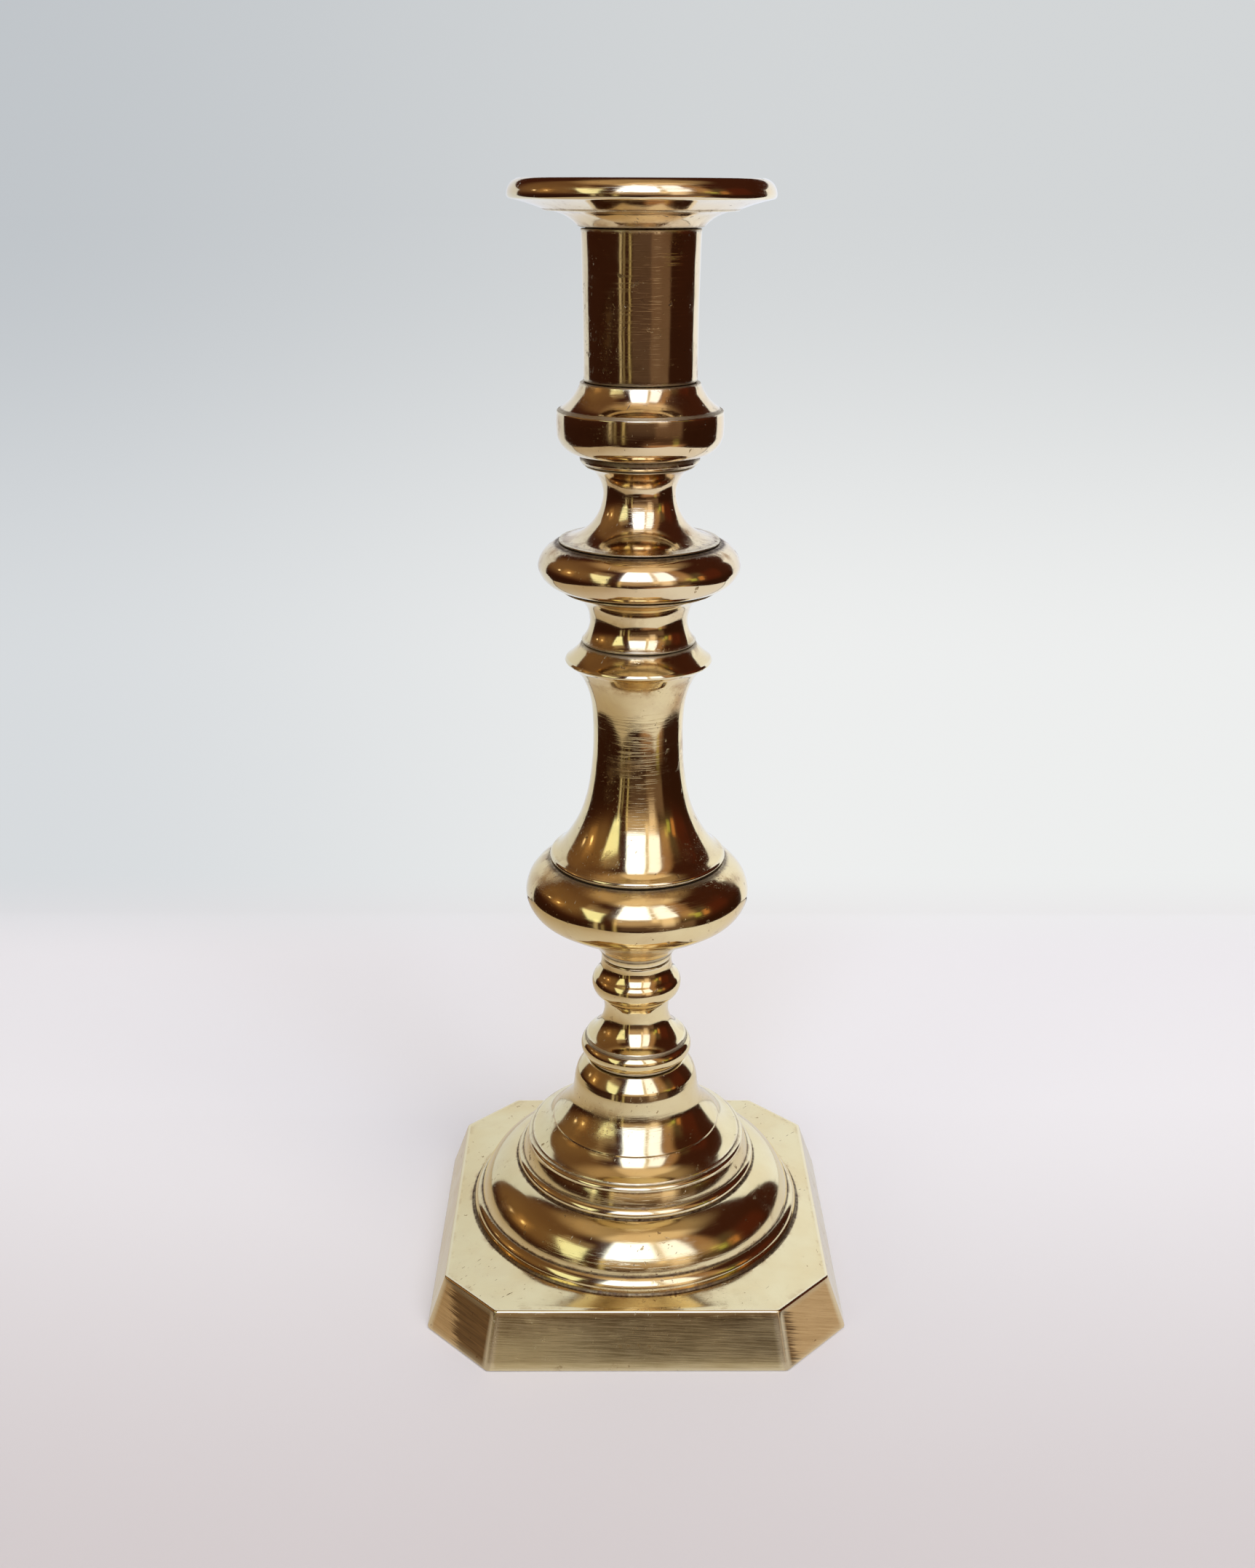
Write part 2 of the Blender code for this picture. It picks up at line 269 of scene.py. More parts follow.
def turn_mesh(name, outline, closed=True, facets=FACETS, error=0.03, size=11.0, seed=0,
              seams=(), seam_reach=0.7, stains=(), scuffs=()):
    """Turn an outline about Z.  A closed one runs down its outside and up its bore."""
    line = split_long(soften(outline, closed), closed)
    along, grime_and_shade, wear_and_highlight = hollows(line, closed)
    # Dirt and painted shade gather at the joints between pieces.
    for height, strength in seams:
        for i, (_, z) in enumerate(line):
            grime_and_shade[i] = min(1.0, grime_and_shade[i] + strength * math.exp(-abs(z - height) / seam_reach))
    rings = []
    if not closed:
        line = line[1:-1]
        along, grime_and_shade, wear_and_highlight = along[1:-1], grime_and_shade[1:-1], wear_and_highlight[1:-1]
    for r, z in line:
        ring = []
        for j in range(facets):
            angle = 2.0 * math.pi * j / facets
            c, s = math.cos(angle), math.sin(angle)
            off = wander(r * c, r * s, z, error, size, seed) if error else 0.0
            ring.append(((r + off) * c, (r + off) * s, z))
        rings.append(ring)
    values = {"along": [a * MM for a in along], "grime_and_shade": grime_and_shade, "wear_and_highlight": wear_and_highlight}
    values["stain"] = [[blotch(*p, stains) for p in ring] for ring in rings]
    values["scuff"] = [[blotch(*p, scuffs) for p in ring] for ring in rings]
    return make_mesh(name, rings, facets, closed, values, capped=not closed)


# ---------------------------------------------------------------- square foot

FOOT_HALF = radius_of("base_casting")
PLATE_HALF = 49.4
PLATE_TOP = 14.6             # at its worn outer edge
CROWN = 15.5                 # where the plate meets the dome
FOOT_CUT = 16.6
PLATE_CUT = 13.9
WALL = 3.2
LONG_STEPS = 44              # points along a long side of the foot
SHORT_STEPS = 16
CORNER_STEPS = 5
UPRIGHT_ROUND = 1.6          # radius of the upright edges
RIM_ROUND = 0.75             # and of the edges along the top and the bottom
DOME_ROUND = 0.16
CONTACT_R = 45.3             # dirt lies round the dome out to here, and fades beyond
CONTACT_FADE = 0.5
CLEAN_BEFORE_END = 6         # the last square rings, high in the hollow, are dull like its roof
PER_RING = 4 * (LONG_STEPS + SHORT_STEPS + 2 * CORNER_STEPS)


def square_ring(half, z):
    """Ring parallel to the foot's outer face, with cut and slightly rounded corners."""
    inset = foot_half(z) - half
    cut = foot_cut(z) - inset * (2.0 - math.sqrt(2.0))
    corners = []
    for turn in range(4):
        c, s = ((1, 0), (0, 1), (-1, 0), (0, -1))[turn]
        for x, y in ((half, half - cut), (half - cut, half)):
            corners.append(Vector((c * x - s * y, s * x + c * y)))
    points = []
    for i, here in enumerate(corners):
        before = (corners[i - 1] - here).normalized()
        after = (corners[(i + 1) % 8] - here).normalized()
        reach = UPRIGHT_ROUND * math.tan(math.radians(22.5))
        start, end = here + before * reach, here + after * reach
        for step in range(CORNER_STEPS + 1):
            t = step / CORNER_STEPS
            points.append(start * (1 - t) ** 2 + here * 2 * t * (1 - t) + end * t ** 2)
        following = corners[(i + 1) % 8]
        goal = following - after * reach
        steps = SHORT_STEPS if i % 2 == 0 else LONG_STEPS
        for step in range(1, steps):
            points.append(end + (goal - end) * step / steps)
    return [(p.x, p.y, z) for p in points]


def round_ring(radius, z, guide):
    """Circle whose points lie at the same angles as the guide ring's."""
    ring = []
    for x, y, _ in guide:
        length = math.hypot(x, y)
        ring.append((radius * x / length, radius * y / length, z))
    return ring


def blend_rings(first, second, share, z):
    return [(a[0] + (b[0] - a[0]) * share, a[1] + (b[1] - a[1]) * share, z)
            for a, b in zip(first, second)]


def foot_half(z):
    return FOOT_HALF + (PLATE_HALF - FOOT_HALF) * z / PLATE_TOP


def foot_cut(z):
    return FOOT_CUT + (PLATE_CUT - FOOT_CUT) * z / PLATE_TOP


def foot_stations():
    """The foot's outline through the middle of a side, as runs of round and square rings."""
    top = high("base_casting")
    bore = 6.3
    roof = PLATE_TOP - WALL
    round_top = [(bore, top), (12.9, top)]
    round_top += bow((13.2, top - 0.15), (15.6, 56.25), 0.12)
    round_top += glide([(15.8, 55.8), (16.05, 54.95), (16.3, 54.0), (16.45, 52.9),
                        (16.6, 51.5), (16.85, 50.0), (17.4, 48.0), (18.5, 46.0),
                        (20.05, 44.0), (22.2, 41.75)])
    round_top += [(22.35, 41.3)]
    round_top += bow((22.45, 41.2), (27.9, 37.3), -0.5)
    round_top += [(28.1, 36.9)]
    round_top += bow((28.4, 36.8), (29.3, 35.6), 0.3, 8)
    round_top += bow((29.35, 35.4), (30.6, 32.0), 0.08, 8)
    round_top += [(30.7, 31.75)]
    round_top += bow((30.9, 31.6), (32.1, 29.4), 0.5)
    round_top += [(32.2, 29.15)]
    round_top += bow((32.5, 29.1), (42.1, 19.5), 1.95, 28)
    round_top += [(42.2, 19.2)]
    round_top += bow((42.45, 19.15), (44.35, 16.2), 0.5)
    round_top += [(44.4, 15.9), (44.75, CROWN)]
    square = [(48.4, PLATE_TOP), (PLATE_HALF, PLATE_TOP), (FOOT_HALF, 0.0)]
    square += [(FOOT_HALF - WALL, 0.0), (foot_half(roof) - WALL, roof), (44.5, roof)]
    round_low = [(41.2, roof), (40.4, roof + 0.8)]
    round_low += bow((39.8, 17.5), (28.8, 28.8), 2.6, 10)
    round_low += [(24.6, 35.2), (19.2, 39.5), (14.2, 46.5), (12.2, 50.0), (bore, 50.0)]
    return round_top, square, round_low


def blend_run(first, last, steps):
    """Points between two ends, closer together near the first."""
    shares = [(i / steps) ** 2 for i in range(1, steps)]
    return [(first[0] + (last[0] - first[0]) * share,
             first[1] + (last[1] - first[1]) * share) for share in shares]


def corner_wear_and_highlight():
    """Wear and painted highlight around one square ring: full at the eight upright edges, nothing
    between them.
    """
    worn_highlight = []
    for i in range(8):
        steps = SHORT_STEPS if i % 2 == 0 else LONG_STEPS
        worn_highlight += [1.0] * (CORNER_STEPS + 1) + [0.0] * (steps - 1)
    return worn_highlight


FOOT_STAINS = (
    (-62.0, 24.5, 2.2, 1.2, 0.9), (60.0, 24.0, 1.8, 2.5, 0.7), (-42.0, 46.5, 5.0, 4.0, 0.9),
    (-20.0, 48.5, 4.0, 3.0, 0.5), (5.0, 16.2, 16.0, 1.2, 0.8),
)
FOOT_SCUFFS = (
    (0.0, 22.0, 24.0, 2.2, 1.0), (0.0, 33.5, 14.0, 1.5, 0.8), (0.0, 47.0, 12.0, 4.0, 0.5),
)


def build_foot(material):
    round_top, square, round_low = foot_stations()
    parts = []
    for line, kind, rounding, longest in ((round_top, "round", DOME_ROUND, 1.6),
                                          (square, "square", RIM_ROUND, 1.6),
                                          (round_low, "round", DOME_ROUND, 2.5)):
        rounded = split_long(soften(line, False, rounding, 4), False, longest)
        parts.append([(r, z, kind) for r, z in rounded])
    first = [(r, z, "out") for r, z in blend_run(parts[0][-1][:2], parts[1][0][:2], 14)]
    second = [(r, z, "in") for r, z in blend_run(parts[1][-1][:2], parts[2][0][:2], 6)]
    stations = parts[0] + first + parts[1] + second + parts[2]
    line = [(r, z) for r, z, _ in stations]
    along, grime_and_shade, wear_and_highlight = hollows(line, True)
    guide = square_ring(FOOT_HALF, 0.0)
    rings = []
    for r, z, kind in stations:
        if kind == "round":
            ring = round_ring(r, z, guide)
        elif kind == "square":
            ring = square_ring(r, z)
        else:
            inner = parts[0][-1] if kind == "out" else parts[2][0]
            outer = parts[1][0] if kind == "out" else parts[1][-1]
            share = (r - inner[0]) / (outer[0] - inner[0])
            ring = blend_rings(round_ring(inner[0], z, guide), square_ring(outer[0], z), share, z)
        rings.append([wandered(point, 0.035, 12.0, 3.0) for point in ring])
    outer_start = len(parts[0]) + len(first)
    for i in range(len(parts[0]), outer_start):
        fade = [(CONTACT_R - math.hypot(x, y)) / CONTACT_FADE for x, y, _ in rings[i]]
        grime_and_shade[i] = [min(1.0, 0.5 * math.exp(value)) for value in fade]
    # The plinth's upright edges get wear with a painted highlight.
    for i, (r, z, kind) in enumerate(stations):
        if kind == "square" and r > PLATE_HALF and z > 0.0:
            wear_and_highlight[i] = [max(wear_and_highlight[i], worn_highlight) for worn_highlight in corner_wear_and_highlight()]
    last_clean = outer_start + len(parts[1]) - CLEAN_BEFORE_END
    values = {"along": [a * MM for a in along], "grime_and_shade": grime_and_shade, "wear_and_highlight": wear_and_highlight}
    values["inside"] = [1.0 if i > last_clean else 0.0 for i in range(len(stations))]
    values["brushed"] = [1.0 if kind == "square" and r > PLATE_HALF + 0.1 and z > 0.05 else 0.0
                         for r, z, kind in stations]
    values["stain"] = [[blotch(*p, FOOT_STAINS) for p in ring] for ring in rings]
    values["scuff"] = [[blotch(*p, FOOT_SCUFFS) for p in ring] for ring in rings]
    mesh = make_mesh("foot", rings, PER_RING, True, values)
    place("foot", mesh, material, "base_casting", STICK)


# ---------------------------------------------------------------- turned pieces
# Heights of the stem's pieces are counted from the foot of each piece.

SPIGOT_R = 6.0
SPIGOT_LENGTH = 7.0
SOCKET_R = SPIGOT_R + GAP
SOCKET_DEPTH = SPIGOT_LENGTH + 2 * GAP
ROD_BORE_R = 3.3
TENON_GUIDE_R = 2.7
TUBE_SPIGOT_R = 12.5
TUBE_SOCKET_R = TUBE_SPIGOT_R + GAP
CANDLE_R = 11.1


def section_line(side, top):
    """Outline of a hollow stem section with a socket in its foot and a spigot on top."""
    tip = top + SPIGOT_LENGTH
    line = [(SPIGOT_R, tip), (SPIGOT_R, top)] + side
    line += [(SOCKET_R, 0.0), (SOCKET_R, SOCKET_DEPTH)]
    line += [(ROD_BORE_R, SOCKET_DEPTH), (ROD_BORE_R, tip)]
    return line


def add_turned(name, node, line, material, body=STICK, slot="polished_brass", **options):
    place(name, turn_mesh(name, line, **options), material, node, body)


def raised(rows, foot, column):
    """Rows with the height in one column counted from the table instead of from the foot."""
    return [row[:column] + (row[column] + foot,) + row[column + 1:] for row in rows]


def add_stem_piece(name, node, foot, line, material, seams, stains=(), scuffs=(), **options):
    add_turned(name, node, raised(line, foot, 1), material, seams=raised(seams, foot, 0),
               stains=raised(stains, foot, 1), scuffs=raised(scuffs, foot, 1), **options)


def foot_and_top(node, above):
    """Where a stem section starts, and how far up its shoulder under the next piece lies."""
    foot = low(node)
    return foot, low(above) - GAP - foot


def build_pedestal(material):
    foot = high("base_casting") + GAP
    tenon = low("pedestal_stem") - foot
    top = low("bulb_knop") - GAP - foot
    tip = high("pedestal_stem") - foot
    line = [(SPIGOT_R, tip), (SPIGOT_R, top), (9.15, top)]
    line += bow((9.2, 28.6), (10.8, 24.5), -0.45)
    line += bow((11.0, 24.25), (9.7, 18.4), 1.25)
    line += bow((9.25, 18.1), (13.1, 6.6), -2.4, 20)
    line += [(13.45, 6.25), (13.1, 5.95)]
    line += bow((13.4, 5.75), (13.8, 1.3), 1.05, 18)
    line += [(12.7, 1.0), (12.7, 0.0), (SPIGOT_R, 0.0), (SPIGOT_R, tenon)]
    line += [(TENON_GUIDE_R, tenon), (TENON_GUIDE_R, tenon + 5.0)]
    line += [(ROD_BORE_R, tenon + 5.6), (ROD_BORE_R, tip)]
    add_stem_piece("pedestal", "pedestal_stem", foot, line, material, error=0.022, seed=1,
                   seams=((0.0, 1.0), (top, 0.5), (6.0, 0.3)))


def build_bulb(material):
    foot, top = foot_and_top("bulb_knop", "vase_stem")
    side = [(22.2, top)]
    side += glide([(22.5, top - 0.1), (24.4, 26.6), (25.6, 25.6), (26.6, 24.5), (27.45, 23.3),
                   (28.1, 21.8), (28.5, 20.3), (28.6, 19.3), (28.5, 18.2), (28.15, 16.9),
                   (27.6, 15.7), (26.8, 14.5), (25.7, 13.4), (24.4, 12.5), (21.4, 10.6),
                   (18.0, 8.6), (14.8, 6.6), (12.0, 4.6), (10.5, 2.9)])
    side += [(10.0, 2.5), (9.9, 2.0), (9.45, 1.9), (9.3, 1.0), (9.15, 0.0)]
    stains = ((-66.0, top - 2.0, 5.0, 3.0, 1.0), (62.0, top - 1.5, 6.0, 2.5, 0.6),
              (-80.0, 15.0, 3.0, 4.0, 0.7), (4.0, 9.0, 1.2, 1.2, 1.0))
    scuffs = ((20.0, top - 3.0, 16.0, 2.0, 0.5), (0.0, 12.0, 20.0, 3.0, 0.5))
    add_stem_piece("bulb", "bulb_knop", foot, section_line(side, top), material, error=0.05,
                   size=13.0, seed=2, seams=((top, 0.9), (1.9, 0.25), (0.0, 0.4)),
                   seam_reach=0.9, stains=stains, scuffs=scuffs)


def build_vase(material):
    foot, top = foot_and_top("vase_stem", "spool")
    side = [(13.6, top)]
    side += bow((14.0, top - 0.2), (17.7, 52.7), -0.2)
    side += [(18.0, 52.2), (17.9, 51.8), (17.0, 51.3)]
    side += glide([(16.1, 50.6), (15.35, 49.8), (14.2, 48.4), (13.25, 46.7), (12.45, 44.7),
                   (11.9, 42.7), (11.52, 40.4), (11.28, 37.5), (11.18, 34.0), (11.2, 31.0),
                   (11.35, 27.5), (11.7, 23.5), (12.25, 19.8), (13.0, 16.2), (13.95, 13.0),
                   (15.2, 10.0), (16.65, 7.4), (18.15, 5.1), (19.5, 3.35), (20.6, 2.3),
                   (21.5, 1.7)])
    side += bow((21.7, 1.55), (22.2, 0.3), 0.3, 8)
    side += [(21.9, 0.0)]
    stains = ((-38.0, 24.0, 3.0, 7.0, 0.9), (-8.0, 27.5, 3.0, 2.5, 0.8),
              (48.0, 6.0, 5.0, 3.5, 0.9), (-30.0, 4.0, 5.0, 2.5, 0.7),
              (0.0, 48.0, 14.0, 1.6, 0.7), (50.0, 44.0, 2.5, 4.0, 0.8),
              (75.0, 30.0, 2.0, 8.0, 0.6), (-60.0, 12.0, 2.5, 4.0, 0.6))
    scuffs = ((-6.0, 33.0, 4.5, 8.0, 1.0), (4.0, 21.0, 4.5, 10.0, 0.9),
              (10.0, 40.0, 9.0, 3.0, 0.5))
    add_stem_piece("vase", "vase_stem", foot, section_line(side, top), material, error=0.045,
                   size=9.0, seed=3, seams=((0.0, 1.0), (top, 1.0)), stains=stains,
                   scuffs=scuffs)


def build_spool(material):
    foot, top = foot_and_top("spool", "upper_knop")
    side = [(18.8, top), (18.9, top - 0.3)]
    side += bow((18.3, top - 0.7), (13.9, 0.4), -4.0, 26)
    side += [(13.8, 0.0)]
    add_stem_piece("spool_turned", "spool", foot, section_line(side, top), material,
                   error=0.03, size=8.0, seed=4, seams=((0.0, 1.0), (top, 0.6)))


def build_upper_knop(material):
    foot, top = foot_and_top("upper_knop", "trumpet_neck")
    side = [(19.4, top)]
    side += bow((19.7, top - 0.15), (24.3, 5.3), 1.1, 20)
    side += bow((24.3, 5.2), (19.4, 0.25), 1.2, 20)
    side += [(19.0, 0.0)]
    stains = ((-68.0, top - 1.0, 3.0, 1.2, 0.9), (-80.0, 6.0, 2.0, 2.0, 0.7),
              (66.0, top - 1.4, 2.5, 1.0, 0.9), (80.0, 4.0, 2.0, 2.0, 0.6))
    add_stem_piece("upper_knop_turned", "upper_knop", foot, section_line(side, top), material,
                   error=0.045, size=12.0, seed=5, seams=((0.0, 0.5), (top, 1.0)),
                   stains=stains)


def build_trumpet(material):
    foot, top = foot_and_top("trumpet_neck", "socket_cup")
    side = [(12.9, top), (12.95, top - 0.2)]
    side += bow((12.8, top - 0.35), (8.65, 11.25), -1.15, 16)
    side += bow((8.65, 11.2), (19.2, 0.35), -2.9, 26)[1:]
    side += [(19.2, 0.0)]
    stains = ((62.0, 3.0, 2.0, 1.0, 1.0), (48.0, 1.5, 1.5, 0.8, 0.9),
              (-50.0, 15.0, 2.5, 2.0, 0.6), (20.0, 15.5, 6.0, 1.5, 0.6))
    add_stem_piece("trumpet", "trumpet_neck", foot, section_line(side, top), material,
                   error=0.035, size=8.0, seed=6, seams=((0.0, 0.9), (top, 0.8)),
                   stains=stains, scuffs=((0.0, 9.0, 5.0, 4.5, 0.9),))


def build_cup(material):
    foot = low("socket_cup")
    lip = high("socket_cup") - foot
    floor = low("socket_tube") - GAP - foot
    line = [(TUBE_SOCKET_R, lip), (13.8, lip)]
    line += bow((14.0, lip - 0.2), (18.55, 12.75), -0.65)
    line += [(18.85, 12.35), (19.15, 12.45)]
    line += bow((19.45, 12.0), (19.45, 6.6), 0.12)
    line += bow((19.35, 6.2), (14.4, 2.2), 1.0, 18)
    line += [(13.95, 2.1), (14.1, 1.8), (14.1, 0.7), (13.5, 0.0), (SOCKET_R, 0.0)]
    line += [(SOCKET_R, SOCKET_DEPTH), (ROD_BORE_R, SOCKET_DEPTH), (ROD_BORE_R, floor)]
    line += [(TUBE_SOCKET_R, floor)]
    stains = ((-30.0, 9.0, 4.0, 2.5, 0.5), (35.0, 16.0, 4.0, 1.5, 0.5),
              (-75.0, 9.5, 2.0, 2.5, 0.7), (-55.0, 15.0, 3.0, 1.2, 0.6))
    add_stem_piece("cup", "socket_cup", foot, line, material, error=0.04, size=10.0, seed=7,
                   seams=((2.0, 0.8), (0.0, 0.8), (lip, 0.7), (12.4, 0.35)), seam_reach=0.6,
                   stains=stains)


def build_tube(material):
    foot = high("socket_cup") + GAP
    end = low("socket_tube") - foot
    top = high("socket_tube") - foot
    neck = low("drip_pan") - GAP - foot
    line = [(CANDLE_R, top), (TUBE_SPIGOT_R, top), (TUBE_SPIGOT_R, neck)]
    line += bow((13.6, neck), (13.2, 0.0), -0.15, 30)
    line += [(TUBE_SPIGOT_R, 0.0), (TUBE_SPIGOT_R, end), (CANDLE_R, end)]
    stains = ((-38.0, 7.0, 2.2, 7.0, 1.0), (-33.0, 16.0, 1.5, 6.0, 0.8),
              (-70.0, 10.0, 1.5, 8.0, 0.7), (78.0, 2.0, 2.0, 3.0, 0.8),
              (40.0, neck - 2.0, 4.0, 2.0, 0.6))
    scuffs = ((0.0, 18.0, 9.0, 14.0, 0.55), (32.0, neck - 6.0, 3.0, 2.5, 0.9))
    add_stem_piece("tube", "socket_tube", foot, line, material, error=0.05, size=7.0, seed=8,
                   seams=((neck, 0.9), (0.0, 0.8)), seam_reach=0.6, stains=stains,
                   scuffs=scuffs)


def build_pan(material):
    foot = low("drip_pan")
    top = high("drip_pan") - foot
    rim = radius_of("drip_pan")
    dish = 6.45
    line = [(TUBE_SOCKET_R, dish), (14.5, dish)]
    line += bow((24.0, 7.65), (26.8, top - 0.15), 0.45)
    line += bow((27.2, top), (rim, top - 3.3), 0.75, 18)
    line += bow((rim, top - 3.6), (29.2, top - 4.4), 0.2, 6)
    line += bow((28.8, top - 4.5), (22.3, 3.85), -0.15)
    line += [(22.0, 3.6)]
    line += bow((21.7, 3.4), (14.2, 0.15), -0.9, 18)
    line += [(13.7, 0.0), (TUBE_SOCKET_R, 0.0)]
    add_stem_piece("pan", "drip_pan", foot, line, material, error=0.05, size=14.0, seed=9,
                   seams=((0.0, 0.9), (3.6, 0.4)), seam_reach=0.5,
                   scuffs=((0.0, top - 2.0, 30.0, 2.0, 0.6),))


# ---------------------------------------------------------------- fixings and ejector

def build_washer(material):
    lo, hi = low("stem_washer"), high("stem_washer")
    outer = radius_of("stem_washer")
    line = [(SOCKET_R, hi), (outer, hi), (outer, lo), (SOCKET_R, lo)]
    add_turned("washer", "stem_washer", line, material, slot="iron", facets=SMALL_FACETS,
               error=0.06, size=5.0, seed=11)


def hex_radius(angle, flat):
    """Distance from the centre of a hexagon to its side, in a given direction."""
    sector = math.radians(60.0)
    return flat / math.cos((angle + sector / 2.0) % sector - sector / 2.0)


def build_nut(material):
    lo, hi = low("stem_nut"), high("stem_nut")
    box_lo, box_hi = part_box("stem_nut")
    corner = max(box_hi.x - box_lo.x, box_hi.y - box_lo.y) / 2 / MM
    flat = corner * math.cos(math.radians(30.0))
    start = 0.0 if box_hi.x - box_lo.x > box_hi.y - box_lo.y else math.radians(30.0)
    chamfer = flat + 0.25
    line = [(SOCKET_R, hi), (chamfer, hi), (corner, hi - 0.8), (corner, lo + 0.8),
            (chamfer, lo), (SOCKET_R, lo)]
    line = split_long(soften(line, True, 0.2), True, 1.0)
    along, grime_and_shade, wear_and_highlight = hollows(line, True)
    rings = []
    for r, z in line:
        ring = []
        for j in range(SMALL_FACETS * 2):
            angle = 2.0 * math.pi * j / (SMALL_FACETS * 2)
            reach = min(r, hex_radius(angle - start + math.radians(30.0), flat))
            ring.append(wandered((reach * math.cos(angle), reach * math.sin(angle), z),
                                 0.05, 3.0, 2.0))
        rings.append(ring)
    values = {"along": [a * MM for a in along], "grime_and_shade": grime_and_shade, "wear_and_highlight": wear_and_highlight}
    mesh = make_mesh("nut", rings, SMALL_FACETS * 2, True, values)
    place("nut", mesh, material, "stem_nut", STICK)


def build_disc(material):
    lo, hi = low("ejector_disc"), high("ejector_disc")
    outer = radius_of("ejector_disc")
    hole = 1.8
    line = [(hole, hi - 0.2), (hole + 1.5, hi), (outer - 0.6, hi), (outer, hi - 0.5)]
    line += [(outer, lo), (hole, lo)]
    add_turned("disc", "ejector_disc", line, material, PUSHER, "plain_brass",
               facets=SMALL_FACETS, error=0.05, size=4.0, seed=12)


def build_rod(material):
    lo, hi = low("push_rod"), high("push_rod")
    disc_lo, disc_hi = low("ejector_disc"), high("ejector_disc")
    head = radius_of("push_rod")
    line = [(0.0, hi)]
    line += bow((0.6, hi), (head, disc_hi + GAP), 0.5, 10)
    line += [(1.5, disc_hi + GAP), (1.5, disc_lo - GAP), (2.2, disc_lo - GAP), (2.2, lo)]
    line += [(0.0, lo)]
    add_turned("rod", "push_rod", line, material, PUSHER, "iron", closed=False, facets=48,
               error=0.05, size=3.0, seed=13)


def build_button(material):
    lo, hi = low("push_button"), high("push_button")
    outer = radius_of("push_button")
    hole = 2.5
    seat = low("push_rod") - GAP
    line = [(0.0, seat), (hole, seat), (hole, hi), (4.4, hi)]
    line += bow((5.0, hi - 0.1), (outer - 1.2, hi - 1.0), -0.3, 6)
    line += bow((outer - 1.2, hi - 1.0), (outer - 1.2, lo + 0.4), 1.15, 18)[1:]
    line += [(outer - 2.5, lo), (0.0, lo)]
    add_turned("button", "push_button", line, material, PUSHER, "plain_brass", closed=False,
               facets=SMALL_FACETS, error=0.04, size=5.0, seed=14)


# ---------------------------------------------------------------- node helpers

class Graph:
    """Short calls for the nodes of one material or world."""

    def __init__(self, tree):
        self.tree = tree

    def node(self, kind, inputs=(), **settings):
        node = self.tree.nodes.new(kind)
        for key, value in settings.items():
            setattr(node, key, value)
        self.fill(node, dict(inputs))
        return node

    def fill(self, node, inputs):
        """Link or set several inputs of a node."""
        for key, value in inputs.items():
            socket = node.inputs[key]
            if isinstance(value, bpy.types.NodeSocket):
                self.tree.links.new(value, socket)
            elif isinstance(value, tuple) and len(value) == 3 and socket.type == "RGBA":
                socket.default_value = value + (1.0,)
            else:
                socket.default_value = value

    def glow(self, colour):
        return self.node("ShaderNodeEmission", {"Color": colour, "Strength": 1.0}).outputs[0]

    def show(self, shader):
        self.fill(self.tree.nodes["Material Output"], {"Surface": shader})

    def math(self, operation, a, b=0.0, clamp=False):
        return self.node("ShaderNodeMath", {0: a, 1: b}, operation=operation,
                         use_clamp=clamp).outputs[0]

    def plus(self, a, b, clamp=False):
        return self.math("ADD", a, b, clamp)

    def minus(self, a, b):
        return self.math("SUBTRACT", a, b)

    def times(self, a, b, clamp=False):
        return self.math("MULTIPLY", a, b, clamp)

    def larger(self, a, b, clamp=False):
        return self.math("MAXIMUM", a, b, clamp)

    def split(self, vector):
        return self.node("ShaderNodeSeparateXYZ", {0: vector}).outputs[:3]

    def join(self, x, y, z):
        return self.node("ShaderNodeCombineXYZ", {0: x, 1: y, 2: z}).outputs[0]

    def noise(self, vector, scale, detail=2.0, roughness=0.5, distortion=0.0):
        inputs = {"Vector": vector, "Scale": scale, "Detail": detail, "Roughness": roughness,
                  "Distortion": distortion}
        return self.node("ShaderNodeTexNoise", inputs).outputs[0]

    def step(self, value, start, end, low=0.0, high=1.0):
        """Smooth step: low up to start, high from end on; start may be the larger one."""
        inputs = {"Value": value, "From Min": start, "From Max": end, "To Min": low,
                  "To Max": high}
        if start > end:
            inputs.update({"From Min": end, "From Max": start, "To Min": high, "To Max": low})
        return self.node("ShaderNodeMapRange", inputs,
                         interpolation_type="SMOOTHSTEP").outputs[0]

    def mix(self, factor, a, b, blend="MIX"):
        return self.node("ShaderNodeMix", {0: factor, 6: a, 7: b}, data_type="RGBA",
                         blend_type=blend).outputs[2]

    def track(self, name):
        return self.node("ShaderNodeAttribute", attribute_name=name).outputs["Fac"]

    def bump(self, height, distance, strength=1.0, normal=None):
        inputs = {"Height": height, "Distance": distance, "Strength": strength}
        if normal is not None:
            inputs["Normal"] = normal
        return self.node("ShaderNodeBump", inputs).outputs[0]


def new_material(name):
    material = bpy.data.materials.new(name)
    material.use_nodes = True
    graph = Graph(material.node_tree)
    shader = material.node_tree.nodes["Principled BSDF"]
    spot = graph.node("ShaderNodeTexCoord").outputs["Object"]
    return material, graph, shader, spot


# ---------------------------------------------------------------- materials
# Object coordinates are in metres, and so are the places and bump heights below.

BRASS = (0.90, 0.755, 0.435)
BRASS_WARM = (0.86, 0.68, 0.36)
BRASS_GOLD = (0.93, 0.76, 0.42)
BRASS_GOLD_WARM = (0.90, 0.69, 0.355)
BRASS_ROSE = (0.93, 0.755, 0.47)
BRASS_ROSE_WARM = (0.90, 0.685, 0.40)
